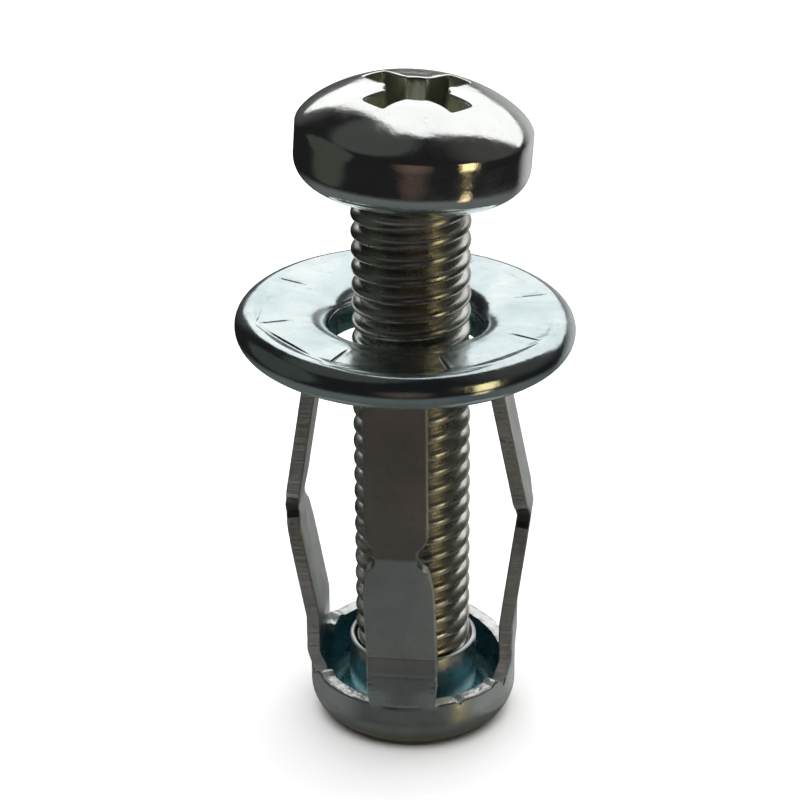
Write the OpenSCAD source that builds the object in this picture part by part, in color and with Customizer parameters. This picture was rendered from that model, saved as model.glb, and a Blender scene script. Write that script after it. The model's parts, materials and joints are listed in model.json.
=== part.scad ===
// Folding-leg wall anchor with its machine screw, in millimetres.
// Origin: centre of the flange's underside, the face that seats on the wall.
// +Z points out of the wall, towards the screw's head. The legs stand at -Y (front), +X, +Y and -X.
// Turning the screw draws the nut cup up along it, and the four legs fold outwards at the knee.

/* [Screw] */
// Pitch diameter of the M5 x 0.8 thread, the diameter of a plain shank of equal volume
thread_pitch_d = 4.48; // [4.3:0.01:4.6]
// Length of the screw under its head
screw_len = 24.5; // [23.8:0.1:24.5]
// Outside diameter of the pan head
head_d = 9.74; // [9:0.02:10]
// Height of the head's bearing face above the wall seat
head_seat_z = 7.1; // [6.8:0.1:7.1]
// Height of the head's straight side, from the bearing face to the foot of the dome
head_side_h = 2.07; // [1.6:0.01:2.4]
// Height of the dome above the straight side
dome_h = 2.25; // [2:0.05:2.6]
// Radius of the round between the straight side and the bearing face
head_round = 1.15; // [0.6:0.05:1.4]
// Overall width of the cross recess, tip to tip
recess_span = 5.1; // [4.8:0.05:5.3]
// Width of each recess wing
recess_wing = 1.1; // [0.9:0.05:1.3]
// Depth of the recess below the top of the dome
recess_depth = 2.7; // [2.4:0.1:2.9]

/* [Flange] */
// Outside diameter of the flange over its rolled rim
flange_d = 14.3; // [14:0.05:14.6]
// Thickness of the flange at its rolled rim
flange_t = 1.58; // [1.5:0.01:1.7]
// Diameter of the hole in the flange at its narrowest
flange_hole_d = 6.36; // [6.3:0.02:7]
// Radius of the lip round the hole
lip_r = 0.53; // [0.45:0.01:0.55]
// Thickness of the hem that is folded under the tabs
hem_t = 0.42; // [0.38:0.01:0.5]
// Radius at which the hem ends, clear of the legs as they fold
hem_in_r = 5.4; // [5.3:0.05:5.5]
// Radius at which the clinched tabs end, clear of the legs as they fold
tab_in_r = 5.1; // [5.05:0.05:5.3]
// Distance from the axis to the outer corners of the tabs
tab_corner_r = 6.45; // [6.3:0.01:6.48]

/* [Cage] */
// Thickness of the sheet that the legs, tabs and cup are stamped from
sheet_t = 0.6; // [0.55:0.01:0.65]
// Distance from the axis to the middle of the sheet at the top of a leg
top_r = 3.6; // [3.55:0.01:3.7]
// Height of the top bend line of a leg
top_z = 0.3; // [0.25:0.01:0.35]
// Distance from the axis to the middle of the sheet at the knee
knee_r = 5.02; // [4.9:0.01:5.1]
// Height of the knee
knee_z = -7.6; // [-7.8:0.05:-7.4]
// Distance from the axis to the middle of the sheet at the lower crease
crease_r = 4.225; // [4.1:0.005:4.3]
// Height of the lower crease
crease_z = -12.75; // [-12.9:0.05:-12.6]
// Width of an upper leg
upper_leg_w = 2.64; // [2.4:0.02:2.8]
// Width of a lower leg
lower_leg_w = 3; // [2.8:0.02:3.2]
// Width of the neck at the knee
neck_w = 1.8; // [1.6:0.05:2]
// Radius of the notches that make the neck
notch_r = 0.75; // [0.6:0.05:0.9]

/* [Nut cup] */
// Outside diameter of the cup
cup_d = 9.05; // [8.9:0.01:9.2]
// Height of the cup's underside
cup_bottom_z = -17.5; // [-17.6:0.05:-17.5]
// Height of the cup's rim between the legs
cup_rim_z = -15.2; // [-15.4:0.05:-15]
// Radius of the round between the cup's wall and its floor
cup_round = 1.3; // [1:0.05:1.5]
// Outside diameter of the threaded collar
collar_d = 5.6; // [5.4:0.02:5.8]
// Height of the collar's top
collar_top_z = -14; // [-14.2:0.05:-13.8]

/* [Fits] */
// Radial running clearance of the screw in the collar
thread_gap = 0.05; // [0.03:0.01:0.08]
// Gap between a bend's rolled edge and the flat strip that hinges on it
bend_gap = 0.05; // [0.04:0.01:0.06]
// Gap that the inner side of an upper leg needs at the knee to fold
knee_relief = 0.62; // [0.6:0.01:0.7]
// Clearance left above the top of each leg, where the folding linkage is open
open_pivot_gap = 0.62; // [0.6:0.01:0.65]

/* [Hidden] */
$fn = 96;

// Bearings of the four legs round the axis, seen from above
front = -90;
right = 0;
back = 90;
left = 180;

shank_r = thread_pitch_d / 2;
tip_chamfer = 0.5;
head_r = head_d / 2;
dome_steps = 16;
recess_taper = 0.6;
recess_core_r = 1.25;
cut = 0.5;

flange_r = flange_d / 2;
rim_r = flange_t / 2;
rim_x = flange_r - rim_r;
lip_x = flange_hole_d / 2 + lip_r;
tab_z = hem_t;
tab_top = hem_t + sheet_t;
tab_half_angle = 22.5;
tab_slot_r = tab_corner_r + 0.05;

half_t = sheet_t / 2;
upper_len = norm([knee_r - top_r, top_z - knee_z]);
upper_lean = atan2(knee_r - top_r, top_z - knee_z);
lower_len = norm([knee_r - crease_r, knee_z - crease_z]);
lower_lean = atan2(knee_r - crease_r, knee_z - crease_z);
cup_r = cup_d / 2;
cup_in_round = cup_round - sheet_t;
collar_bore_r = shank_r + thread_gap;
collar_r = collar_d / 2;

// Turns a leg, drawn on +X, to its bearing
module at_bearing(bearing) {
    rotate([0, 0, bearing])
        children();
}

// A strip of sheet standing on its bottom edge: X is across the sheet and Y across the strip
module strip(width, bottom, top) {
    translate([-half_t, -width / 2, bottom])
        cube([sheet_t, width, top - bottom]);
}

// A rolled edge along Y, round the bend line
module bend_roll(width) {
    rotate([90, 0, 0])
        cylinder(r = half_t, h = width, center = true);
}

// The round notches on both edges of a strip at the knee
module knee_notches() {
    for (side = [-1, 1])
        translate([0, side * (neck_w / 2 + notch_r), 0])
            rotate([0, 90, 0])
                cylinder(r = notch_r, h = 4 * sheet_t, center = true);
}

// Half of the pan head's outline: a dome over a straight side with a rounded lower edge
module head_outline() {
    dome_foot = head_seat_z + head_side_h;
    dome = [for (i = [0 : dome_steps])
        let (a = 90 * i / dome_steps) [head_r * cos(a), dome_foot + dome_h * sin(a)]];
    polygon(concat(dome, [[0, dome_foot - cut], [head_r, dome_foot - cut]]));
    translate([0, head_seat_z])
        square([head_r - head_round, head_side_h]);
    translate([0, head_seat_z + head_round])
        square([head_r, head_side_h - head_round]);
    translate([head_r - head_round, head_seat_z + head_round])
        circle(r = head_round);
}

// One pair of opposite recess wings, narrowing towards the bottom
module recess_wings() {
    top = head_seat_z + head_side_h + dome_h;
    bottom = top - recess_depth;
    half = recess_span / 2;
    rotate([90, 0, 0])
        linear_extrude(height = recess_wing, center = true)
            polygon([
                [-half, top + cut], [-half, top - 1], [-half + recess_taper, bottom],
                [half - recess_taper, bottom], [half, top - 1], [half, top + cut]
            ]);
}

// The cross recess, turned so that its wings lie between the legs
module cross_recess() {
    top = head_seat_z + head_side_h + dome_h;
    for (turn = [45, 135])
        rotate([0, 0, turn])
            recess_wings();
    translate([0, 0, top - recess_depth - cut])
        cylinder(r1 = 0.2, r2 = recess_core_r, h = recess_depth + 2 * cut);
}

module machine_screw() {
    color("silver")
        difference() {
            union() {
                rotate_extrude()
                    intersection() {
                        head_outline();
                        square([2 * head_r, 2 * head_d]);
                    }
                translate([0, 0, head_seat_z - screw_len + tip_chamfer])
                    cylinder(r = shank_r, h = screw_len - tip_chamfer + cut);
                translate([0, 0, head_seat_z - screw_len])
                    cylinder(r1 = shank_r - tip_chamfer, r2 = shank_r, h = tip_chamfer);
            }
            cross_recess();
        }
}

// The ring that covers the cage's tabs: a flat top, a lip round the hole and a rim rolled under
module flange_cover() {
    color("lightsteelblue")
        rotate_extrude()
            difference() {
                union() {
                    translate([rim_x, rim_r])
                        circle(r = rim_r);
                    translate([lip_x, tab_top])
                        square([rim_x - lip_x, flange_t - tab_top]);
                    translate([hem_in_r, 0])
                        square([rim_x - hem_in_r, hem_t]);
                    intersection() {
                        translate([lip_x, flange_t - lip_r])
                            circle(r = lip_r);
                        translate([0, tab_top])
                            square([lip_x, flange_t]);
                    }
                }
                translate([0, tab_z])
                    square([tab_slot_r, sheet_t]);
            }
}

// The four tabs at the top of the cage, clinched inside the cover, with octagonal outer edges
module cage_tabs() {
    color("slategray")
        for (bearing = [front, right, back, left])
            at_bearing(bearing)
                translate([0, 0, tab_z])
                    linear_extrude(height = sheet_t)
                        difference() {
                            polygon([
                                [0, 0],
                                tab_corner_r * [cos(tab_half_angle), -sin(tab_half_angle)],
                                tab_corner_r * [cos(tab_half_angle), sin(tab_half_angle)]
                            ]);
                            circle(r = tab_in_r);
                        }
}

// Cup with an upright threaded collar, drawn from the same sheet as the legs
module nut_cup() {
    rim_h = cup_rim_z - cup_bottom_z;
    stub_foot = cup_rim_z - cut;
    color("gray")
        difference() {
            union() {
                translate([0, 0, cup_bottom_z])
                    rotate_extrude()
                        difference() {
                            rounded_wall_profile(cup_r, rim_h, cup_round);
                            translate([0, sheet_t])
                                rounded_wall_profile(cup_r - sheet_t, rim_h, cup_in_round);
                        }
                translate([0, 0, cup_bottom_z])
                    cylinder(r = collar_r, h = collar_top_z - cup_bottom_z);
                for (bearing = [front, right, back, left])
                    at_bearing(bearing)
                        leg_stub(stub_foot);
            }
            translate([0, 0, cup_bottom_z - cut])
                cylinder(r = collar_bore_r, h = collar_top_z - cup_bottom_z + 2 * cut);
        }
}

// Half outline of a round-bottomed solid of revolution
module rounded_wall_profile(radius, height, round) {
    square([radius - round, height]);
    translate([0, round])
        square([radius, height - round]);
    translate([radius - round, round])
        circle(r = round);
}

// The foot of a leg, which stands on the cup's wall up to the lower crease
module leg_stub(foot_z) {
    translate([crease_r, 0, 0]) {
        strip(lower_leg_w, foot_z, crease_z);
        translate([0, 0, crease_z])
            bend_roll(lower_leg_w);
    }
}

// Lower leg, from the lower crease out to the knee, drawn from the crease upwards
module lower_leg(bearing) {
    color("dimgray")
        at_bearing(bearing)
            translate([crease_r, 0, crease_z])
                rotate([0, lower_lean, 0]) {
                    difference() {
                        strip(lower_leg_w, half_t + bend_gap, lower_len);
                        translate([0, 0, lower_len])
                            knee_notches();
                    }
                    translate([0, 0, lower_len])
                        bend_roll(neck_w);
                }
}

// Upper leg, from the knee up to the flange, drawn from the knee upwards
module upper_leg(bearing) {
    end = upper_len - open_pivot_gap;
    color("darkslategray")
        at_bearing(bearing)
            translate([knee_r, 0, knee_z])
                rotate([0, -upper_lean, 0])
                    difference() {
                        rotate([90, 0, 0])
                            linear_extrude(height = upper_leg_w, center = true)
                                polygon([
                                    [half_t, half_t + bend_gap], [half_t, end],
                                    [-half_t, end], [-half_t, knee_relief]
                                ]);
                        knee_notches();
                    }
}

machine_screw();
flange_cover();
cage_tabs();
nut_cup();
upper_leg(front);  // upper_leg_front
upper_leg(right);  // upper_leg_right
upper_leg(back);  // upper_leg_back
upper_leg(left);  // upper_leg_left
lower_leg(front);  // lower_leg_front
lower_leg(right);  // lower_leg_right
lower_leg(back);  // lower_leg_back
lower_leg(left);  // lower_leg_left
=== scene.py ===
"""Zinc-plated folding-leg wall anchor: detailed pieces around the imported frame, camera and studio."""
import json
import math

import bmesh
import bpy
from mathutils import Matrix, Vector, noise


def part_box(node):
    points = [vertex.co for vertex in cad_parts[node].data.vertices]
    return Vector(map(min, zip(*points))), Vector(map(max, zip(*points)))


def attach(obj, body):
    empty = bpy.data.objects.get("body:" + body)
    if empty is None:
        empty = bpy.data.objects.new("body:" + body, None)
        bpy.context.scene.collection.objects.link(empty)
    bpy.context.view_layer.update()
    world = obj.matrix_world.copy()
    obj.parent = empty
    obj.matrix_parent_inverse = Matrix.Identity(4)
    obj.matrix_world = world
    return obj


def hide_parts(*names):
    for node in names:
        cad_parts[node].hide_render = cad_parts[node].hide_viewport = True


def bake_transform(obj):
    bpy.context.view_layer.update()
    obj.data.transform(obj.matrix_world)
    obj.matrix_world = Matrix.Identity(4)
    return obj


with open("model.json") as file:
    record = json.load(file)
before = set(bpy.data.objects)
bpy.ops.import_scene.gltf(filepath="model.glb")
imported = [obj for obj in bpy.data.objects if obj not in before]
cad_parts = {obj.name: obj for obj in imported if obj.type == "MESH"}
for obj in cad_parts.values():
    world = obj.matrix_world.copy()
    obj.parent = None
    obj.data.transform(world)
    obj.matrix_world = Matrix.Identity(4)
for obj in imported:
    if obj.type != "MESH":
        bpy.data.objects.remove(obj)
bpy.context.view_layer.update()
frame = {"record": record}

MM = 0.001                                    # metres in a millimetre
CAMERA_TURN = 6.7                             # degrees from the front leg's bearing round to the right

# ---------------------------------------------------------------- places, in millimetres, from the frame
joints = {j["name"]: j for j in frame["record"]["behaviour"]["joints"]}
BEARINGS = {"front": -90, "right": 0, "back": 90, "left": 180}


def box_mm(node):
    low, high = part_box(node)
    return [c / MM for c in low], [c / MM for c in high]


def joint_place(name):
    """Distance from the axis and height of a hinge, in millimetres."""
    x, y, z = joints[name]["pos_m"]
    return math.hypot(x, y) / MM, z / MM


flange_high = box_mm("flange_cover")[1]
cup_low = box_mm("nut_cup")[0]
screw_low, screw_high = box_mm("machine_screw")

FLANGE_R = flange_high[0]
FLANGE_T = flange_high[2]
CUP_BOTTOM = cup_low[2]
SCREW_TIP = screw_low[2]
HEAD_TOP = screw_high[2]
HEAD_R = screw_high[0]
CREASE_R, CREASE_Z = joint_place("crease_front")
KNEE_R, KNEE_Z = joint_place("knee_front")
HEAD_SEAT = [m for m in frame["record"]["mounts"] if m["name"] == "head_seat"][0]["pos_m"][2] / MM

SHEET = 0.6                                   # thickness of the stamped sheet
HALF = SHEET / 2
TOP_R, TOP_Z = 3.6, 0.3                       # top bend line of a leg, inside the flange
CUP_R = CREASE_R + HALF
CUP_RIM = -15.2
CUP_ROUND = 1.3
COLLAR_R, COLLAR_TOP = 2.8, -14.0
TONGUE_TOP = -13.3                            # where the cup's tongues meet the leg strips
PRESSED_Z = -13.71                            # a line pressed across each tongue
UPPER_W, LOWER_W, NECK_W = 1.32, 1.5, 0.88    # half-widths of a leg
NOTCH_BELOW = 1.1                             # a leg narrower than this is at its notch
EDGE = 0.05                                   # rounding of the sheet's edges
PITCH = 0.8
CREST_R, ROOT_R = 2.5, 2.02
THREAD_POWER = 2.4                            # the higher, the broader the crests
TURN_STEPS = 96                               # faces round one turn of the thread
PITCH_ROWS = 16                               # rows of faces from one crest to the next
TIP_R, TIP_FLARE = 1.75, 0.9                  # radius of the screw's end, and how fast it widens
NUT_ROOT_R, NUT_DEPTH = 2.60, 0.38            # the collar's thread, which clears the screw's
FLANGE_SHIFT, FLANGE_TIP = -0.28, 1.3         # millimetres and degrees, both to the camera's right
FLANGE_NOD = 1.0                              # degrees that the flange's front dips towards the camera


# ---------------------------------------------------------------- small helpers
def smooth(edge0, edge1, x):
    t = min(max((x - edge0) / (edge1 - edge0), 0.0), 1.0)
    return t * t * (3 - 2 * t)


def curve(points, x):
    """A smooth value through (x, value) points given in rising x."""
    if x <= points[0][0]:
        return points[0][1]
    for (x0, v0), (x1, v1) in zip(points, points[1:]):
        if x <= x1:
            return v0 + (v1 - v0) * smooth(x0, x1, x)
    return points[-1][1]


def arc(cx, cz, radius, start, end, steps):
    """Points on an arc from start to end, in degrees."""
    angles = [math.radians(start + (end - start) * i / steps) for i in range(steps + 1)]
    return [(cx + radius * math.cos(a), cz + radius * math.sin(a)) for a in angles]


def turned(point, bearing):
    """A point drawn on the +X leg, turned to another leg's bearing."""
    a = math.radians(bearing)
    x, y, z = point
    return (x * math.cos(a) - y * math.sin(a), x * math.sin(a) + y * math.cos(a), z)


def sideways():
    """The camera's right, along the floor."""
    a = math.radians(CAMERA_TURN)
    return Vector((math.cos(a), math.sin(a), 0))


def tipped(point, degrees, height):
    """A point turned to the camera's right about the middle of the object at a height."""
    axis = Vector((0, 0, 1)).cross(sideways())
    pivot = Vector((0, 0, height))
    return Matrix.Rotation(math.radians(degrees), 3, axis) @ (Vector(point) - pivot) + pivot


def settled(point):
    """A point of the cage or flange, which sit a little askew on the screw, more so towards the flange."""
    z = point[2]
    share = min(max(1 - z / CREASE_Z, 0.0), 1.0)
    turn = smooth(-1.6, -0.1, z)
    nod = Matrix.Rotation(math.radians(FLANGE_NOD * turn), 3, sideways())
    return nod @ tipped(point, FLANGE_TIP * turn, 0.0) + sideways() * FLANGE_SHIFT * share


def ripple(x, y, z, size, seed=0.0):
    """Smooth noise from -1 to 1 with features of the given size in millimetres."""
    return noise.noise(Vector((x / size + seed, y / size, z / size)))


def rings_to_faces(rings, count, closed=True):
    """Quads between successive rings of count vertices."""
    faces = []
    steps = count if closed else count - 1
    for k in range(rings - 1):
        for i in range(steps):
            j = (i + 1) % count
            faces.append((k * count + i, k * count + j, (k + 1) * count + j, (k + 1) * count + i))
    return faces


def piece(name, points, faces, body, materials, marks=None, replaces=(), sharp=38):
    """A mesh piece in the row frame from points in millimetres; marks gives each face's material."""
    mesh = bpy.data.meshes.new(name)
    mesh.from_pydata([Vector(p) * MM for p in points], [], faces)
    for m in materials:
        mesh.materials.append(m)
    if marks is not None:
        mesh.polygons.foreach_set("material_index", marks)
    obj = bpy.data.objects.new(name, mesh)
    bpy.context.scene.collection.objects.link(obj)
    clean(mesh)
    mesh.polygons.foreach_set("use_smooth", [True] * len(mesh.polygons))
    mesh.set_sharp_from_angle(angle=math.radians(sharp))
    if body:
        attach(obj, body)
    if replaces:
        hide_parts(*replaces)
    return obj


def clean(mesh):
    """Welds coincident points, drops empty faces and turns all faces outwards."""
    bm = bmesh.new()
    bm.from_mesh(mesh)
    bmesh.ops.remove_doubles(bm, verts=bm.verts, dist=1e-7)
    bmesh.ops.dissolve_degenerate(bm, edges=bm.edges, dist=1e-8)
    bmesh.ops.recalc_face_normals(bm, faces=bm.faces)
    bm.to_mesh(mesh)
    bm.free()


# ---------------------------------------------------------------- materials
def node(tree, kind, **settings):
    n = tree.nodes.new(kind)
    for key, value in settings.items():
        setattr(n, key, value)
    return n


def noise_node(tree, coords, scale, detail=4.0, roughness=0.55, stretch=(1, 1, 1)):
    mapping = node(tree, "ShaderNodeMapping")
    mapping.inputs["Scale"].default_value = [scale * s for s in stretch]
    tree.links.new(coords, mapping.inputs["Vector"])
    n = node(tree, "ShaderNodeTexNoise")
    n.inputs["Scale"].default_value = 1.0
    n.inputs["Detail"].default_value = detail
    n.inputs["Roughness"].default_value = roughness
    tree.links.new(mapping.outputs["Vector"], n.inputs["Vector"])
    return n.outputs["Fac"]


def remap(tree, value, low, high, out_low, out_high):
    n = node(tree, "ShaderNodeMapRange", clamp=True)
    n.inputs["From Min"].default_value = low
    n.inputs["From Max"].default_value = high
    n.inputs["To Min"].default_value = out_low
    n.inputs["To Max"].default_value = out_high
    tree.links.new(value, n.inputs["Value"])
    return n.outputs["Result"]


def mix_colour(tree, factor, a, b):
    n = node(tree, "ShaderNodeMix", data_type="RGBA")
    tree.links.new(factor, n.inputs[0])
    for socket, value in ((n.inputs[6], a), (n.inputs[7], b)):
        if isinstance(value, tuple):
            socket.default_value = (*value, 1.0)
        else:
            tree.links.new(value, socket)
    return n.outputs[2]


def add_bump(tree, height, strength, distance, normal=None):
    n = node(tree, "ShaderNodeBump")
    n.inputs["Strength"].default_value = strength
    n.inputs["Distance"].default_value = distance * MM
    tree.links.new(height, n.inputs["Height"])
    if normal is not None:
        tree.links.new(normal, n.inputs["Normal"])
    return n.outputs["Normal"]


CLOUD_SCALE, FINE_SCALE, ROUGH_SCALE = 420, 3200, 1500
STAIN_SHADE = 0.45                            # brightness of a stain against the plating round it
# Colour of the painted shade at the foot of the cup, where it stands on the table
CONTACT_SHADE_COLOUR = (0.34, 0.29, 0.21)


def zinc(name, light, dark, rough, grain, grime=0.25, metal=1.0, contact_shade=None):
    """Zinc-plated steel, cloudy, with random stains and grain, and painted shade towards the bottom where
    asked.

    rough is the lowest and highest roughness. grain lists (scale per metre, stretch, strength, depth in
    millimetres). The last argument is the pair of heights, in millimetres, between which painted shade,
    dark brown at the bottom where the cup stands on the table, fades out into the plain plating.
    """
    mat = bpy.data.materials.new(name)
    mat.use_nodes = True
    tree = mat.node_tree
    shader = tree.nodes["Principled BSDF"]
    shader.inputs["Metallic"].default_value = metal
    shader.inputs["Specular IOR Level"].default_value = 0.3
    coords = node(tree, "ShaderNodeTexCoord").outputs["Object"]
    cloud = noise_node(tree, coords, CLOUD_SCALE, 5)
    fine = noise_node(tree, coords, FINE_SCALE, 3)
    colour = mix_colour(tree, remap(tree, cloud, 0.35, 0.7, 0, 1), light, dark)
    stain = tuple(c * STAIN_SHADE for c in dark)
    stained_and_shaded = mix_colour(tree, remap(tree, fine, 0.6, 0.75, 0, grime), colour, stain)
    # Painted shade: darker and browner towards the bottom, for the cup's contact with the table
    if contact_shade:
        split = node(tree, "ShaderNodeSeparateXYZ")
        tree.links.new(coords, split.inputs[0])
        unshaded_share = remap(tree, split.outputs["Z"], contact_shade[0] * MM, contact_shade[1] * MM, 0, 1)
        stained_and_shaded = mix_colour(tree, unshaded_share, CONTACT_SHADE_COLOUR, stained_and_shaded)
    tree.links.new(stained_and_shaded, shader.inputs["Base Color"])
    rough_map = remap(tree, noise_node(tree, coords, ROUGH_SCALE, 6), 0.3, 0.7, *rough)
    tree.links.new(rough_map, shader.inputs["Roughness"])
    normal = None
    for scale, stretch, strength, depth in grain:
        height = noise_node(tree, coords, scale, 3, 0.5, stretch)
        normal = add_bump(tree, height, strength, depth, normal)
    tree.links.new(normal, shader.inputs["Normal"])
    return mat


head_zinc = zinc("head_zinc", (0.98, 0.98, 0.96), (0.90, 0.91, 0.90), (0.08, 0.17),
                 [(350, (1, 1, 1), 0.5, 0.05), (1800, (1, 1, 1), 0.25, 0.02),
                  (8000, (1, 1, 1), 0.4, 0.006)])
thread_zinc = zinc("thread_zinc", (0.82, 0.81, 0.76), (0.64, 0.63, 0.58), (0.20, 0.38),
                   [(1200, (1, 1, 1), 0.4, 0.03), (4000, (1, 1, 0.3), 0.3, 0.012)])
recess_zinc = zinc("recess_zinc", (0.74, 0.75, 0.64), (0.48, 0.49, 0.42), (0.26, 0.38),
                   [(1200, (1, 1, 0.3), 0.5, 0.03)])
flange_zinc = zinc("flange_zinc", (0.83, 0.90, 0.90), (0.60, 0.70, 0.73), (0.10, 0.22),
                   [(260, (1, 1, 1), 0.4, 0.06), (2400, (1, 1, 1), 0.45, 0.016),
                    (7000, (1, 1, 1), 0.3, 0.005)])
# Blue passivation tint, deepened and darkened as painted interreflection and shade, for the inside of the cup
# and the cage's wall round the hole
inner_tint_and_shade_zinc = zinc("inner_tint_and_shade_zinc", (0.42, 0.74, 0.80), (0.30, 0.56, 0.64), (0.22, 0.34),
                  [(400, (1, 1, 0.4), 0.3, 0.03)], 0.0)
sheet_zinc = zinc("sheet_zinc", (0.76, 0.78, 0.76), (0.60, 0.63, 0.62), (0.34, 0.46),
                  [(500, (1, 1, 1), 0.3, 0.03), (5000, (1, 1, 0.25), 0.3, 0.01)], 0.25, 0.975)
# The cup's plating gets painted shade, dark brown below -15.9 mm, where it stands on the table
cup_zinc = zinc("cup_zinc", (0.80, 0.84, 0.83), (0.64, 0.68, 0.68), (0.26, 0.38),
                [(500, (1, 1, 1), 0.3, 0.03), (5000, (1, 1, 0.25), 0.3, 0.01)], 0.25, 0.99,
                (-17.2, -15.9))
cut_zinc = zinc("cut_zinc", (0.84, 0.82, 0.77), (0.56, 0.55, 0.52), (0.36, 0.50),
                [(900, (0.4, 0.4, 9), 1.0, 0.09), (3500, (1, 1, 1), 0.5, 0.02)], 0.6, 0.93)
# Painted shade: a near-black copy of the cut edge for the narrow notch at a leg's knee, which lies in shade
notch_shade_zinc = zinc("notch_shade_zinc", (0.38, 0.37, 0.35), (0.20, 0.20, 0.19), (0.30, 0.45),
                  [(900, (0.5, 0.5, 9), 0.6, 0.03)], 0.6)
torn_zinc = zinc("torn_zinc", (0.96, 0.96, 0.94), (0.7, 0.7, 0.68), (0.22, 0.42),
                 [(2600, (1, 1, 1), 0.9, 0.09), (9000, (1, 1, 1), 0.6, 0.03)], 0.4, 0.85)


# ---------------------------------------------------------------- screw
DOME_TOP = HEAD_SEAT + 4.5                    # height that the dome would reach in the middle
DOME_FOOT = HEAD_SEAT + 2.42
DOME_SPREAD, DOME_FALL = 1.8, 1.43            # exponents of the dome's curve
DOME_SINK = 0.25                              # depth that the dome's middle is flattened by
SINK_FROM, SINK_TO = 1.2, 2.8                 # radii between which the flattening fades out
DOME_RING = 3.3                               # radius where the rings round the recess become round
HEAD_ROUND = 1.05
HEAD_LEAN = 3.9                               # degrees that the head leans to the camera's right
RECESS_TURN = 45.0 + CAMERA_TURN
RECESS_DEPTH = 2.6
RECESS_OFF = 0.3                              # millimetres from the head's middle, towards the camera
RECESS_TOP = (1.20, 4.98, 1.30)               # a wing's width, the span of two, the radius between wings
RECESS_FOOT = (0.62, 2.3, 0.75)               # the same at the floor's edge
RECESS_LIP = (0.16, 0.16, 0.14)               # how much wider the rounded lip is
FLOOR_RINGS, RECESS_STEPS = 2, 8              # rings across the recess's floor, steps up its wall
SIDE_STEPS, END_STEPS, CORE_STEPS = 22, 12, 14
END_BULGE = 0.05                              # rounding of a wing's end


def dome_z(r):
    rise = max(0.0, 1 - (r / HEAD_R) ** DOME_SPREAD) ** (1 / DOME_FALL)
    return DOME_FOOT + (DOME_TOP - DOME_FOOT) * rise - DOME_SINK * (1 - smooth(SINK_FROM, SINK_TO, r))


def dome_r(rise):
    """Radius of the dome at a share of its height."""
    return HEAD_R * (1 - rise ** DOME_FALL) ** (1 / DOME_SPREAD)


def leaned(points):
    """The head's points, bent over about the middle of its bearing face."""
    return [tipped(p, HEAD_LEAN, HEAD_SEAT) for p in points]


def recess_outline(width, span, core):
    """The cross recess at one depth: four wings and the core's arcs between them."""
    half, tip = width / 2, span / 2
    root = math.sqrt(core * core - half * half)
    swing = math.degrees(math.asin(half / core))
    outline = []
    for wing in range(4):
        local = []
        for i in range(SIDE_STEPS):
            local.append((root + (tip - root) * i / SIDE_STEPS, -half))
        for i in range(END_STEPS):
            v = -1 + 2 * i / END_STEPS
            local.append((tip + END_BULGE * (1 - v * v), half * v))
        for i in range(SIDE_STEPS):
            local.append((tip + (root - tip) * i / SIDE_STEPS, half))
        for i in range(CORE_STEPS):
            a = math.radians(swing + (90 - 2 * swing) * i / CORE_STEPS)
            local.append((core * math.cos(a), core * math.sin(a)))
        outline += [turned((u, v, 0), RECESS_TURN + 90 * wing)[:2] for u, v in local]
    for _ in range(2):
        before = outline[-1:] + outline[:-1]
        after = outline[1:] + outline[:1]
        threes = zip(before, outline, after)
        outline = [tuple((a + 2 * b + c) / 4 for a, b, c in zip(*three)) for three in threes]
    a = math.radians(CAMERA_TURN)
    return [(x + RECESS_OFF * math.sin(a), y - RECESS_OFF * math.cos(a)) for x, y in outline]


def on_dome(x, y, sink=0.0):
    """A point of the dome, or a little below it."""
    return x, y, dome_z(math.hypot(x, y)) - sink


def recess_rings():
    """Rings from the middle of the recess's floor up to its rounded lip."""
    width, span, core = RECESS_TOP
    floor_z = HEAD_TOP - RECESS_DEPTH
    foot = recess_outline(*RECESS_FOOT)
    rings = []
    for share, sink in ((0.05, 0.25), (0.6, 0.12)):
        rings.append([(x * share, y * share, floor_z - sink) for x, y in foot])
    for k in range(RECESS_STEPS + 1):
        rise = k / RECESS_STEPS
        low = 1 - rise
        ring = recess_outline(width - 0.5 * low, span - 2.44 * low ** 2.2, core - 0.42 * low ** 1.3)
        tops = [on_dome(x, y, 0.10) for x, y in ring]
        rings.append([(x, y, floor_z + (z - floor_z) * rise) for x, y, z in tops])
    for grow, sink in ((0.02, 0.05), (0.07, 0.015)):
        ring = recess_outline(width + grow, span + grow, core + grow)
        rings.append([on_dome(x, y, sink) for x, y in ring])
    return rings


def dome_rings(lip):
    """Rings from the recess's lip out to a circle on the dome."""
    steps = 7
    rings = []
    for k in range(steps + 1):
        t = k / steps
        ring = []
        for x, y in lip:
            a = math.atan2(y, x)
            ring.append(on_dome(x + (DOME_RING * math.cos(a) - x) * t, y + (DOME_RING * math.sin(a) - y) * t))
        rings.append(ring)
    return rings


def head_profile():
    """The head's side and underside, as (radius, height) from the dome down into the shank."""
    steps = 20
    dome_h = DOME_TOP - DOME_FOOT
    shoulder = (dome_z(DOME_RING) - DOME_FOOT) / dome_h
    profile = []
    for k in range(1, steps + 1):
        rise = shoulder * (1 - k / steps)
        profile.append((dome_r(rise), DOME_FOOT + dome_h * rise))
    side_low = HEAD_SEAT + HEAD_ROUND
    profile += [(HEAD_R, side_low + (DOME_FOOT - side_low) * t) for t in (0.75, 0.5, 0.25)]
    profile += arc(HEAD_R - HEAD_ROUND, side_low, HEAD_ROUND, 0, -90, 14)
    profile += [(3.2, HEAD_SEAT), (2.75, HEAD_SEAT), (2.5, HEAD_SEAT - 0.03), (2.38, HEAD_SEAT - 0.12),
                (2.3, HEAD_SEAT - 0.3)]
    return profile


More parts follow.
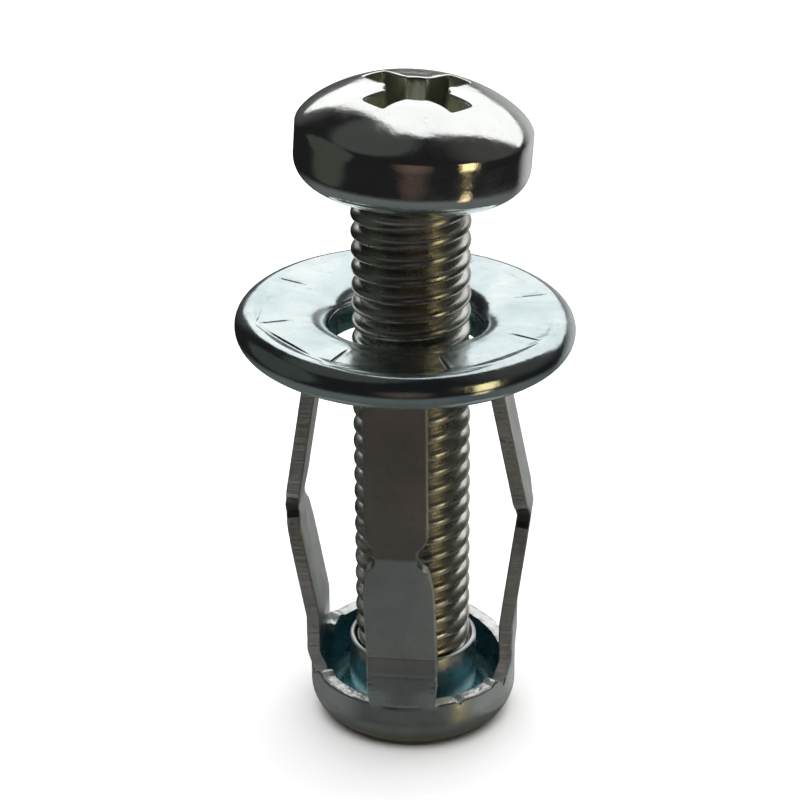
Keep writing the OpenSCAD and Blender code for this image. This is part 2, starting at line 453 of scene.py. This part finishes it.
def screw_head():
    lip = recess_outline(*(size + more for size, more in zip(RECESS_TOP, RECESS_LIP)))
    count = len(lip)
    rings = recess_rings()
    inside = (FLOOR_RINGS + RECESS_STEPS) * count    # faces of the recess's floor and wall, not of its lip
    floor_z = rings[0][0][2]
    rings += dome_rings(lip)
    angles = [math.atan2(y, x) for x, y in lip]
    for r, z in head_profile():
        rings.append([(r * math.cos(a), r * math.sin(a), z) for a in angles])
    points = [p for ring in rings for p in ring]
    faces = rings_to_faces(len(rings), count)
    marks = [2 if k < inside else 0 for k in range(len(faces))]
    points.append((rings[0][0][0], rings[0][0][1], floor_z))
    points.append((0, 0, rings[-1][0][2]))
    last = (len(rings) - 1) * count
    for i in range(count):
        j = (i + 1) % count
        faces.append((i, j, len(points) - 2))
        faces.append((last + i, last + j, len(points) - 1))
    marks += [2, 0] * count
    return leaned(points), faces, marks


def thread_depth(u):
    """Height of the thread over its root, 1 at the rounded crest, at u = 0.5."""
    return 1 - abs(2 * u - 1) ** THREAD_POWER


def screw_thread():
    """The threaded shank; its rows follow the helix, so the crest stays clean all the way round."""
    top = HEAD_SEAT + 0.2
    rows = int((top - SCREW_TIP) / PITCH * PITCH_ROWS) + 2 * PITCH_ROWS
    points = []
    for k in range(-PITCH_ROWS, rows):
        for j in range(TURN_STEPS + 1):
            turn = j / TURN_STEPS
            z = SCREW_TIP + PITCH * (k / PITCH_ROWS + turn)
            r = ROOT_R + (CREST_R - ROOT_R) * thread_depth((k % PITCH_ROWS) / PITCH_ROWS)
            r = min(r, TIP_R + max(z - SCREW_TIP, 0.0) * TIP_FLARE)
            if z <= SCREW_TIP or z >= top:
                z = min(max(z, SCREW_TIP), top)
                r = TIP_R
            a = 2 * math.pi * turn
            points.append((r * math.cos(a), r * math.sin(a), z))
    count = TURN_STEPS + 1
    faces = rings_to_faces(rows + PITCH_ROWS, count, closed=False)
    bottom, upper = len(points), len(points) + 1
    points += [(0, 0, SCREW_TIP), (0, 0, top)]
    last = (rows + PITCH_ROWS - 1) * count
    for j in range(TURN_STEPS):
        faces.append((j, j + 1, bottom))
        faces.append((last + j, last + j + 1, upper))
    return points, faces


def make_screw():
    head_points, head_faces, head_marks = screw_head()
    thread_points, thread_faces = screw_thread()
    shift = len(head_points)
    faces = head_faces + [tuple(i + shift for i in f) for f in thread_faces]
    marks = head_marks + [1] * len(thread_faces)
    return piece("screw", head_points + thread_points, faces, "screw",
                 [head_zinc, thread_zinc, recess_zinc], marks, ["machine_screw"], sharp=50)


# ---------------------------------------------------------------- flange
CREASES = [22.5 + 45 * i for i in range(8)]   # bearings of the octagon's corners
CHORD_BEARING = 218                           # where the octagon's edge shows most
TAB_EDGE = 5.98                               # distance of the tabs' straight edges from the axis
DISH_R, DISH_DEPTH, DISH_WIDTH = 4.37, 0.95, 1.2    # where the dish round the hole begins, and its size


def octagon_reach(x, y):
    """Distance from the axis measured square to the nearest side of the octagon."""
    a = math.degrees(math.atan2(y, x)) % 45
    off = a if a <= 22.5 else a - 45
    return math.hypot(x, y) * math.cos(math.radians(off))


def flange_relief(x, y):
    """Height of the marks that the clinched tabs leave in the cover, in millimetres."""
    r = math.hypot(x, y)
    a = math.degrees(math.atan2(y, x))
    across = math.radians(a % 45 - 22.5) * r
    window = smooth(4.7, 5.3, r) * (1 - smooth(6.0, 6.3, r))
    groove = -0.04 * math.exp(-(across / 0.04) ** 2) * window
    groove += 0.008 * math.exp(-((abs(across) - 0.12) / 0.07) ** 2) * window
    side = octagon_reach(x, y)
    share = 0.12 + 0.88 * math.exp(-(((a + 360) % 360 - CHORD_BEARING) / 30) ** 2)
    chord = -0.06 * math.exp(-((side - TAB_EDGE) / 0.07) ** 2)
    chord -= 0.02 * smooth(5.9, 6.0, side) * (1 - smooth(6.2, 6.5, r))
    over_tab = smooth(22.5, 20, abs((a + 45) % 90 - 45)) * smooth(4.6, 5.2, r)
    tab = 0.006 * over_tab * (1 - smooth(5.8, 6.0, side))
    return groove + chord * share * (1 - smooth(6.4, 6.6, r)) + tab


def make_flange():
    """The cover: a dish round the hole, a flat top, a rim rolled under and the slot that holds the tabs."""
    rim = FLANGE_T / 2
    rim_x = FLANGE_R - rim
    top = FLANGE_T - 0.07
    profile = [(3.25, 0.78, 0), (3.18, 0.74, 0)]
    profile += [(DISH_R + (x - DISH_R) * DISH_WIDTH / DISH_DEPTH, z, 0)
                for x, z in arc(DISH_R, top - 0.03 - DISH_DEPTH, DISH_DEPTH, 180, 97, 16)]
    profile += [(4.45, top - 0.02, 1), (4.6, top - 0.006, 1), (4.75, top, 1)]
    profile += [(4.75 + 1.2 * i / 20, top, 1) for i in range(1, 21)]
    for i in range(1, 13):
        r = 5.95 + (rim_x - 5.95) * i / 12
        profile.append((r, top + (FLANGE_T - top) * smooth(5.95, rim_x + 0.12, r), 1))
    profile += [(x, z, 1 if z > FLANGE_T - 0.1 else 0) for x, z in arc(rim_x, rim, rim, 84, -90, 30)]
    profile += [(6.1, 0.0, 0), (5.6, 0.0, 0), (5.45, 0.02, 0), (5.4, 0.08, 0), (5.4, 0.40, 0)]
    profile += [(5.45, 0.42, 0), (6.45, 0.42, 0), (6.48, 1.02, 0), (3.9, 1.02, 0)]
    beside = [0.022, 0.045, 0.07, 0.1, 0.14, 0.2, 0.3]
    offsets = [0] + beside + [-o for o in beside]
    angles = set(round(360 * i / 240, 4) for i in range(240))
    for c in CREASES:
        angles |= {round((c + math.degrees(o / 5.5)) % 360, 4) for o in offsets}
    angles = sorted(angles)
    points = []
    for r, z, marked in profile:
        for a in angles:
            t = math.radians(a)
            x, y = r * math.cos(t), r * math.sin(t)
            lift = flange_relief(x, y) if marked else 0.0
            wave = 0.012 * ripple(x, y, z, 3.0, 5.0) if marked else 0.006 * ripple(x, y, z, 2.0)
            points.append(settled((x, y, z + lift + wave)))
    count = len(angles)
    faces = rings_to_faces(len(profile), count)
    last = (len(profile) - 1) * count
    faces += [(last + i, last + (i + 1) % count, (i + 1) % count, i) for i in range(count)]
    return piece("flange", points, faces, "flange", [flange_zinc], None, ["flange_cover"],
                 sharp=60)


# ---------------------------------------------------------------- legs
def strip_section(width, dent=0.0, across=9, deep=4):
    """A cross-section of the sheet: (across, out, is_cut) round the loop, with rounded edges."""
    flat = width - EDGE
    depth = HALF - EDGE
    loop = [(-flat + 2 * flat * i / (across - 1), HALF - dent, 0) for i in range(across)]
    loop += [(width, depth - dent - 2 * depth * i / (deep - 1), 1) for i in range(deep)]
    loop += [(flat - 2 * flat * i / (across - 1), -HALF, 0) for i in range(across)]
    loop += [(-width, -depth + 2 * depth * i / (deep - 1), 1) for i in range(deep)]
    return loop


def swept_strip(name, stations, body, bearing, replaces):
    """A strip of sheet through stations: distance from the axis, height, lean, half-width, dent."""
    loops = []
    for r, z, lean, width, dent in stations:
        a = math.radians(lean)
        out = (math.cos(a), -math.sin(a))
        loop = []
        for w, o, _ in strip_section(width, dent):
            loop.append(settled(turned((r + o * out[0], w, z + o * out[1]), bearing)))
        loops.append(loop)
    section = strip_section(1.0)
    count = len(section)
    points = [p for loop in loops for p in loop]
    faces = rings_to_faces(len(loops), count)
    marks = []
    for station in stations[:-1]:
        # Cut faces at the notch take the painted shade; the other cut faces take the plain cut edge
        cut = 2 if station[3] < NOTCH_BELOW else 1
        for i in range(count):
            marks.append(cut if section[i][2] and section[(i + 1) % count][2] else 0)
    faces.append(tuple(range(count)))
    faces.append(tuple((len(loops) - 1) * count + i for i in range(count)))
    marks += [1, 1]
    return piece(name, points, faces, body, [sheet_zinc, cut_zinc, notch_shade_zinc], marks,
                 replaces)


LOWER_LEAN = math.degrees(math.atan2(KNEE_R - CREASE_R, KNEE_Z - CREASE_Z))
UPPER_LEAN = math.degrees(math.atan2(TOP_R - KNEE_R, TOP_Z - KNEE_Z))
LOWER_LEN = math.hypot(KNEE_R - CREASE_R, KNEE_Z - CREASE_Z)
UPPER_LEN = math.hypot(TOP_R - KNEE_R, TOP_Z - KNEE_Z)
BEND = 0.4                                    # half-length of sheet round a bend; make_leg reads places from it but shapes nothing with them
SPLIT = LOWER_LEN * 0.5                       # where the two strips of a leg meet


def along_leg(s):
    """Centre line of a leg at a distance s above the lower crease: distance from the axis, height, lean."""
    if s < 0:
        r, z = CREASE_R, CREASE_Z + s
    elif s < LOWER_LEN:
        a = math.radians(LOWER_LEAN)
        r, z = CREASE_R + s * math.sin(a), CREASE_Z + s * math.cos(a)
    else:
        a = math.radians(UPPER_LEAN)
        t = s - LOWER_LEN
        r, z = KNEE_R + t * math.sin(a), KNEE_Z + t * math.cos(a)
    lean = LOWER_LEAN * smooth(-0.25, 0.25, s)
    lean += (UPPER_LEAN - LOWER_LEAN) * smooth(LOWER_LEN - 0.12, LOWER_LEN + 0.12, s)
    return r, z, lean


# Half-width of a leg by distance above its knee
LEG_WIDTH = [(-2.6, LOWER_W), (-1.7, 1.47), (-1.0, 1.38), (-0.66, 1.27), (-0.45, 1.05),
             (-0.2, NECK_W + 0.01), (0.12, NECK_W), (0.35, 0.95), (0.6, 1.2), (0.85, UPPER_W)]
PRESS_LINES = [(-0.02, 0.009), (0.2, 0.006), (2.63, 0.004)]   # place and depth of lines pressed across a leg


def press_line(s):
    """Depth of the lines pressed across a leg, at a distance s above the crease."""
    return sum(depth * math.exp(-((s - place) / 0.035) ** 2) for place, depth in PRESS_LINES)


def leg_stations(start, end, fine):
    """Stations from start to end, closer together near the places in fine and at the pressed lines."""
    s, out = start, []
    while s < end - 1e-6:
        out.append(s)
        near = min(abs(s - f) for f in fine)
        s += 0.05 if near < 1.0 else 0.2
        if min(abs(s - place) for place, _ in PRESS_LINES) < 0.25:
            s = out[-1] + 0.02
    out.append(end)
    return [(*along_leg(s), curve(LEG_WIDTH, s - LOWER_LEN), press_line(s)) for s in out]


def make_leg(side, bearing):
    """The two strips of a leg, one shaped round the crease and one round the knee; neither is attached to a
    body.
    """
    low = leg_stations(TONGUE_TOP - CREASE_Z, SPLIT, [0])
    high = leg_stations(SPLIT, LOWER_LEN + UPPER_LEN, [LOWER_LEN])
    foot = swept_strip(f"leg_foot_{side}", low, None, bearing, [])
    limb = swept_strip(f"leg_{side}", high, None, bearing, [f"lower_leg_{side}", f"upper_leg_{side}"])
    for obj, below, above, s in ((foot, "nut", f"lower_leg_{side}", 0),
                                 (limb, f"lower_leg_{side}", f"upper_leg_{side}", LOWER_LEN)):
        for place in (s - BEND, s + BEND):
            r, z, _ = along_leg(place)
        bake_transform(obj)


COLLAR_REACH = 20                             # degrees that each curved piece reaches either side


def make_collar():
    """The cage's own wall round the hole: four curved pieces between the tops of the legs."""
    section = [(3.40, 0.68), (3.34, -0.48), (3.38, -0.56), (3.48, -0.60), (3.74, -0.60), (3.84, -0.56),
               (3.88, -0.48), (3.95, 0.3), (3.95, 0.96), (3.55, 0.86)]
    steps = 24
    points, faces = [], []
    for bearing in (45, 135, 225, 315):
        first = len(points)
        for k in range(steps + 1):
            a = math.radians(bearing + COLLAR_REACH * (2 * k / steps - 1))
            points += [settled((r * math.cos(a), r * math.sin(a), z)) for r, z in section]
        size = len(section)
        faces += [tuple(first + i for i in f) for f in rings_to_faces(steps + 1, size)]
        faces.append(tuple(range(first, first + size)))
        faces.append(tuple(range(first + steps * size, first + (steps + 1) * size)))
    # The wall round the hole takes the plating with painted interreflection and shade
    piece("cage_collar", points, faces, "flange", [inner_tint_and_shade_zinc])


def make_tab(side, bearing, first):
    """The tab that a leg turns into under the cover, with the elbow above the leg's top bend line."""
    mid = 0.72
    bend = mid - TOP_Z
    path = [(TOP_R, TOP_Z - 0.02, 0.0)]
    for k in range(9):
        a = math.radians(180 - 90 * k / 8)
        path.append((TOP_R + bend + bend * math.cos(a), TOP_Z + bend * math.sin(a), 90.0 * k / 8))
    for r in (4.2, 4.4, 4.6, 4.8, 5.0, 5.3, 5.7, 6.05):
        path.append((r, mid, 90.0))
    width = [(4.15, UPPER_W), (5.0, 2.0), (6.1, 2.44)]
    stations = [(r, z, lean, curve(width, r), 0.0) for r, z, lean in path]
    swept_strip(f"tab_{side}", stations, "flange", bearing, ["cage_tabs"] if first else [])


# ---------------------------------------------------------------- nut cup
def cup_columns():
    """Angles round the cup, as (bearing of the leg, offset across its tongue or None, angle)."""
    steps, reach_in = 24, 1.38
    inner = [reach_in * (2 * i / steps - 1) for i in range(steps + 1)]
    tongue = [-LOWER_W, -LOWER_W + EDGE] + inner + [LOWER_W - EDGE, LOWER_W]
    reach = math.degrees(math.atan2(LOWER_W, CUP_R))
    columns = []
    gap, gap_steps = 90 - 2 * reach, 40
    for bearing in BEARINGS.values():
        for y in tongue:
            columns.append((bearing, y, bearing + math.degrees(math.atan2(y, CUP_R))))
        for i in range(1, gap_steps):
            columns.append((bearing, None, bearing + reach + gap * i / gap_steps))
    return columns


# Bearing and height of the torn rim's slow rise towards the back
RIM_RISE = [(0, 0), (15, 0.05), (75, 0.5), (105, 0.65), (150, 0.6), (185, 0.0)]
# Bearing, height and spread in degrees of the rim's burrs, of a nick and of the dips beside the front tongue
RIM_MARKS = [(330, 0.18, 3.0), (212, 0.2, 3.5), (152, 0.12, 3.0), (303, -0.16, 1.3), (202, -0.3, 2.2),
             (338, -0.3, 2.2)]


def rim_height(angle):
    """The torn rim between the legs: higher at the back, burred, and nicked beside the tongues."""
    x, y = 4.2 * math.cos(math.radians(angle)), 4.2 * math.sin(math.radians(angle))
    height = CUP_RIM + 0.05 * ripple(x, y, 0, 1.1, 3.0) + 0.03 * ripple(x, y, 0, 0.3, 9.0)
    height += curve(RIM_RISE, angle % 360)
    for place, size, spread in RIM_MARKS:
        height += size * math.exp(-((angle % 360 - place) / spread) ** 2)
    return height


def tongue_fold(y):
    """Height of the line, offset y across a tongue, where the round cup turns flat."""
    return -15.25 + 1.35 * max(0.0, (abs(y) - 0.7) / 0.75) ** 1.5


def nut_thread(u):
    """Radius of the collar's thread, which clears the screw's all along."""
    return NUT_ROOT_R - NUT_DEPTH * abs(2 * u - 1) ** THREAD_POWER


def make_cup():
    """The cup: wall, floor and threaded collar as one skin of rows, then its torn rim and four tongues."""
    columns = cup_columns()
    count = len(columns)
    inner_r = CUP_R - SHEET
    centre = CUP_R - CUP_ROUND
    round_z = CUP_BOTTOM + CUP_ROUND
    wall_rows = 18
    across_rows = 5

    def wall(radius, column, z):
        """A point of the wall, which turns from the round cup into a flat tongue under each leg."""
        bearing, y, angle = column
        a = math.radians(angle)
        around = Vector((radius * math.cos(a), radius * math.sin(a), z))
        if y is None:
            return around
        flat_x = radius - (EDGE if abs(y) >= LOWER_W - 1e-6 and radius > CREASE_R else 0)
        flat_x += EDGE if abs(y) >= LOWER_W - 1e-6 and radius < CREASE_R else 0
        flat = Vector(turned((flat_x, y, z), bearing))
        fold = tongue_fold(y)
        p = around.lerp(flat, smooth(-15.4, -14.3, z))
        if radius > CREASE_R:
            dent = 0.03 * math.exp(-((z - fold) / 0.06) ** 2)
            dent += 0.006 * math.exp(-((z - PRESSED_Z) / 0.05) ** 2)
            p -= Vector(turned((dent, 0, 0), bearing))
        return p

    rows = []                                 # each row: one point per column
    for k in range(wall_rows):
        t = k / (wall_rows - 1)
        row = []
        for column in columns:
            top = CUP_RIM if column[1] is not None else rim_height(column[2])
            z = top + (round_z - top) * t
            p = wall(CUP_R, column, z)
            if k == 0 and column[1] is None:
                p = wall(CUP_R - EDGE, column, z)
            row.append(p)
        rows.append(row)

    def revolve(profile):
        for r, z in profile:
            row = []
            for column in columns:
                a = math.radians(column[2])
                row.append(Vector((r * math.cos(a), r * math.sin(a), z)))
            rows.append(row)

    revolve(arc(centre, round_z, CUP_ROUND, -6, -90, 12))
    revolve([(3.2, CUP_BOTTOM)] + arc(3.07, CUP_BOTTOM + 0.45, 0.45, -90, -180, 6))
    thread_low, thread_high = CUP_BOTTOM + 0.5, COLLAR_TOP - 0.12
    steps = int((thread_high - thread_low) / PITCH * 14)
    for k in range(steps + 1):
        z = thread_low + (thread_high - thread_low) * k / steps
        fade = smooth(thread_low, thread_low + 0.3, z) * (1 - smooth(thread_high - 0.25, thread_high, z))
        row = []
        for column in columns:
            turn = (column[2] % 360) / 360
            u = ((z - SCREW_TIP) / PITCH - turn) % 1.0
            r = NUT_ROOT_R + (nut_thread(u) - NUT_ROOT_R) * fade
            a = math.radians(column[2])
            row.append(Vector((r * math.cos(a), r * math.sin(a), z)))
        rows.append(row)
    revolve([(2.58, COLLAR_TOP - 0.04), (2.64, COLLAR_TOP), (2.7, COLLAR_TOP - 0.01),
             (2.78, COLLAR_TOP - 0.06)])
    revolve([(COLLAR_R, COLLAR_TOP - 0.15), (COLLAR_R, COLLAR_TOP - 0.8), (COLLAR_R, COLLAR_TOP - 1.6)])
    inner_from = len(rows)                    # from here on the rows are inside the cup
    floor_z = CUP_BOTTOM + SHEET
    revolve(arc(COLLAR_R + 0.5, floor_z + 0.5, 0.5, 180, 268, 8)[:-1])
    revolve(arc(centre, round_z, CUP_ROUND - SHEET, -88, -6, 9))
    for k in range(wall_rows):
        t = 1 - k / (wall_rows - 1)
        row = []
        for column in columns:
            top = CUP_RIM if column[1] is not None else rim_height(column[2]) - 0.02
            row.append(wall(inner_r, column, top + (round_z - top) * t))
        rows.append(row)
    points = [p for row in rows for p in row]
    faces = rings_to_faces(len(rows), count)
    # Faces inside the cup take the plating with painted interreflection and shade
    marks = [3 if count * inner_from <= k else 0 for k in range(len(faces))]
    index = {}                                # points by ("across", column, row of the tongue, depth)

    def extra(key, p):
        index[key] = len(points)
        points.append(p)

    last = (len(rows) - 1) * count
    tongue_rows = 40
    for i, column in enumerate(columns):
        edge_column = column[1] is not None and abs(column[1]) >= LOWER_W - 1e-6
        index["across", i, 0, 0] = i
        index["across", i, 0, across_rows] = last + i
        if column[1] is not None:
            for t in range(1, tongue_rows + 1):
                z = CUP_RIM + (TONGUE_TOP - CUP_RIM) * t / tongue_rows
                extra(("across", i, t, 0), wall(CUP_R, column, z))
                extra(("across", i, t, across_rows), wall(inner_r, column, z))
        if column[1] is None or edge_column:
            for t in range(tongue_rows + 1 if edge_column else 1):
                a, b = points[index["across", i, t, 0]], points[index["across", i, t, across_rows]]
                for k in range(1, across_rows):
                    p = a.lerp(b, k / across_rows)
                    if not edge_column:
                        p.z += 0.03 + 0.035 * ripple(p.x, p.y, p.z, 0.22, 7.0)
                    extra(("across", i, t, k), p)
    for i, column in enumerate(columns):
        j = (i + 1) % count
        both = column[1] is not None and columns[j][1] is not None
        if both:
            for t in range(tongue_rows):
                for k in (0, across_rows):
                    faces.append((index["across", i, t, k], index["across", j, t, k],
                                  index["across", j, t + 1, k], index["across", i, t + 1, k]))
                    marks.append(3 if k and t < tongue_rows // 2 else 0)
        else:
            for k in range(across_rows):
                faces.append((index["across", i, 0, k], index["across", j, 0, k],
                              index["across", j, 0, k + 1], index["across", i, 0, k + 1]))
                marks.append(2)
        if column[1] is not None and abs(column[1]) >= LOWER_W - 1e-6:
            for t in range(tongue_rows):
                for k in range(across_rows):
                    faces.append((index["across", i, t, k], index["across", i, t, k + 1],
                                  index["across", i, t + 1, k + 1], index["across", i, t + 1, k]))
                    marks.append(1)
    tongue = [i for i, c in enumerate(columns) if c[1] is not None]
    per = len(tongue) // 4
    for g in range(4):
        group = tongue[g * per:(g + 1) * per]
        top = [index["across", i, tongue_rows, 0] for i in group]
        top += [index["across", group[-1], tongue_rows, k] for k in range(1, across_rows)]
        top += [index["across", i, tongue_rows, across_rows] for i in reversed(group)]
        top += [index["across", group[0], tongue_rows, k] for k in range(across_rows - 1, 0, -1)]
        faces.append(tuple(top))
        marks.append(1)
    looks = [cup_zinc, cut_zinc, torn_zinc, inner_tint_and_shade_zinc]
    return piece("cup", points, faces, "nut", looks, marks, ["nut_cup"])


# ---------------------------------------------------------------- studio
CAMERA_RISE, CAMERA_ROLL = 25.05, -0.41        # degrees
CAMERA_DISTANCE = 107.5
CAMERA_TARGET = (-0.5, -2.73)                  # sideways and up, in millimetres
CAMERA_LENS = 113.85
FLOOR_HALF = 150                               # half the floor's side, in millimetres
# Name, turn from the camera, distance, width, lower and upper edge, strength and colour of each panel
PANELS = [("window", 163.5, 200, 393, 62, 1600, 1.0, (0.98, 1.0, 0.99)),
          ("lamp", 52, 300, 82, -90, 85, 1.4, (1.0, 0.80, 0.40)),
          ("low_lamp", 53, 300, 50, -215, -132, 1.0, (1.0, 0.80, 0.40))]
# Name, distance to the camera's right and strength of the bright patches of table beside the cup
GLOWS = [("glow_right", 8, 0.19), ("glow_left", -8, 0.085)]
# Turn, rise, inner and outer reach in degrees, and colour of each soft patch of the room
ROOM = [(-90, 8, 29, 33, (0.046, 0.052, 0.043)),
        (-85, 68, 24, 32, (0.050, 0.054, 0.050)),
        (-172, 15, 12, 34, (0.085, 0.09, 0.085)),
        (98, 32, 18, 42, (0.048, 0.048, 0.045)),
        (154, -12, 8, 32, (0.50, 0.51, 0.50)),
        (0, -6, 5, 21, (0.100, 0.068, 0.055)),
        (0, -90, 52, 66, (0.108, 0.118, 0.114)),
        (0, -90, 5, 40, (0.085, 0.093, 0.088))]


def camera_axes():
    a, e = math.radians(CAMERA_TURN), math.radians(CAMERA_RISE)
    right = Vector((math.cos(a), math.sin(a), 0))
    back = Vector((math.sin(a) * math.cos(e), -math.cos(a) * math.cos(e), math.sin(e)))
    return right, back.cross(right), back


def make_camera():
    right, up, back = camera_axes()
    roll = math.radians(CAMERA_ROLL)
    cam_right = right * math.cos(roll) + up * math.sin(roll)
    cam_up = up * math.cos(roll) - right * math.sin(roll)
    target = (right * CAMERA_TARGET[0] + Vector((0, 0, CAMERA_TARGET[1]))) * MM
    data = bpy.data.cameras.new("camera")
    data.lens = CAMERA_LENS
    data.sensor_width = 36
    data.clip_start = 0.005
    data.clip_end = 10
    camera = bpy.data.objects.new("camera", data)
    rotation = Matrix((cam_right, cam_up, back)).transposed().to_4x4()
    camera.matrix_world = Matrix.Translation(target + back * CAMERA_DISTANCE * MM) @ rotation
    bpy.context.scene.collection.objects.link(camera)
    bpy.context.scene.camera = camera


def make_floor():
    height = CUP_BOTTOM - 0.01
    corners = [(x * FLOOR_HALF, y * FLOOR_HALF, height) for x, y in ((-1, -1), (1, -1), (1, 1), (-1, 1))]
    mesh = bpy.data.meshes.new("floor")
    mesh.from_pydata([Vector(p) * MM for p in corners], [], [(0, 1, 2, 3)])
    mat = bpy.data.materials.new("floor_white")
    mat.use_nodes = True
    tree = mat.node_tree
    shader = tree.nodes["Principled BSDF"]
    shader.inputs["Base Color"].default_value = (0.93, 0.93, 0.93, 1)
    shader.inputs["Roughness"].default_value = 0.9
    shader.inputs["Specular IOR Level"].default_value = 0.0
    mesh.materials.append(mat)
    floor = bpy.data.objects.new("floor", mesh)
    bpy.context.scene.collection.objects.link(floor)
    floor.visible_glossy = False


def direction(turn, rise):
    """A direction from the object, turn degrees to the right of the camera and rise above the horizon."""
    a, e = math.radians(CAMERA_TURN + turn), math.radians(rise)
    return Vector((math.sin(a) * math.cos(e), -math.cos(a) * math.cos(e), math.sin(e)))


def facing(tree, coords, turn, rise, inner, outer):
    """How near a direction is to a point of the room: 1 within inner degrees of it, 0 beyond outer."""
    dot = node(tree, "ShaderNodeVectorMath", operation="DOT_PRODUCT")
    tree.links.new(coords, dot.inputs[0])
    dot.inputs[1].default_value = direction(turn, rise)
    far, near = math.cos(math.radians(outer)), math.cos(math.radians(inner))
    return remap(tree, dot.outputs["Value"], far, near, 0, 1)


def make_world():
    """A dim room: grey below, brownish in front, greenish on the left and pale behind.

    The camera itself sees a plain white backdrop.
    """
    world = bpy.data.worlds.new("studio")
    world.use_nodes = True
    bpy.context.scene.world = world
    tree = world.node_tree
    coords = node(tree, "ShaderNodeTexCoord").outputs["Generated"]
    colour = (0.012, 0.012, 0.013)
    for turn, rise, inner, outer, shade in ROOM:
        colour = mix_colour(tree, facing(tree, coords, turn, rise, inner, outer), colour, shade)
    seen = node(tree, "ShaderNodeLightPath").outputs["Is Camera Ray"]
    colour = mix_colour(tree, seen, colour, (1.0, 1.0, 1.0))
    tree.links.new(colour, tree.nodes["Background"].inputs["Color"])


def make_panel(name, turn, distance, width, low, high, strength, colour):
    """A soft panel standing upright round the object, with its lower and upper edges in millimetres."""
    data = bpy.data.lights.new(name, "AREA")
    data.shape = "RECTANGLE"
    data.size = width * MM
    data.size_y = (high - low) * MM
    data.energy = strength * math.pi * data.size * data.size_y
    data.color = colour
    light = bpy.data.objects.new(name, data)
    toward = direction(turn, 0)
    light.location = toward * distance * MM + Vector((0, 0, (low + high) / 2 * MM))
    light.rotation_euler = toward.to_track_quat("Z", "Y").to_euler()
    bpy.context.scene.collection.objects.link(light)
    return light


def make_studio():
    make_camera()
    make_floor()
    make_world()
    for panel in PANELS:
        make_panel(*panel)
    for name, side, strength in GLOWS:
        glow = make_panel(name, 0, 0, 7, 0, 12, strength, (1.0, 1.0, 0.98))
        glow.location = (sideways() * side - direction(0, 0) + Vector((0, 0, CUP_BOTTOM + 0.05))) * MM
        glow.rotation_euler = (math.pi, 0, math.radians(CAMERA_TURN))
        glow.visible_camera = False
    overhead = make_panel("overhead", 0, 0, 500, 50, 550, 3.0, (1.0, 1.0, 1.0))
    overhead.location = (0, 0, 300 * MM)
    overhead.rotation_euler = (0, 0, 0)
    overhead.visible_glossy = False
    bpy.context.scene.view_settings.view_transform = "Standard"


make_studio()
make_screw()
make_flange()
make_cup()
for number, (side, bearing) in enumerate(BEARINGS.items()):
    make_leg(side, bearing)
    make_tab(side, bearing, number == 0)
make_collar()
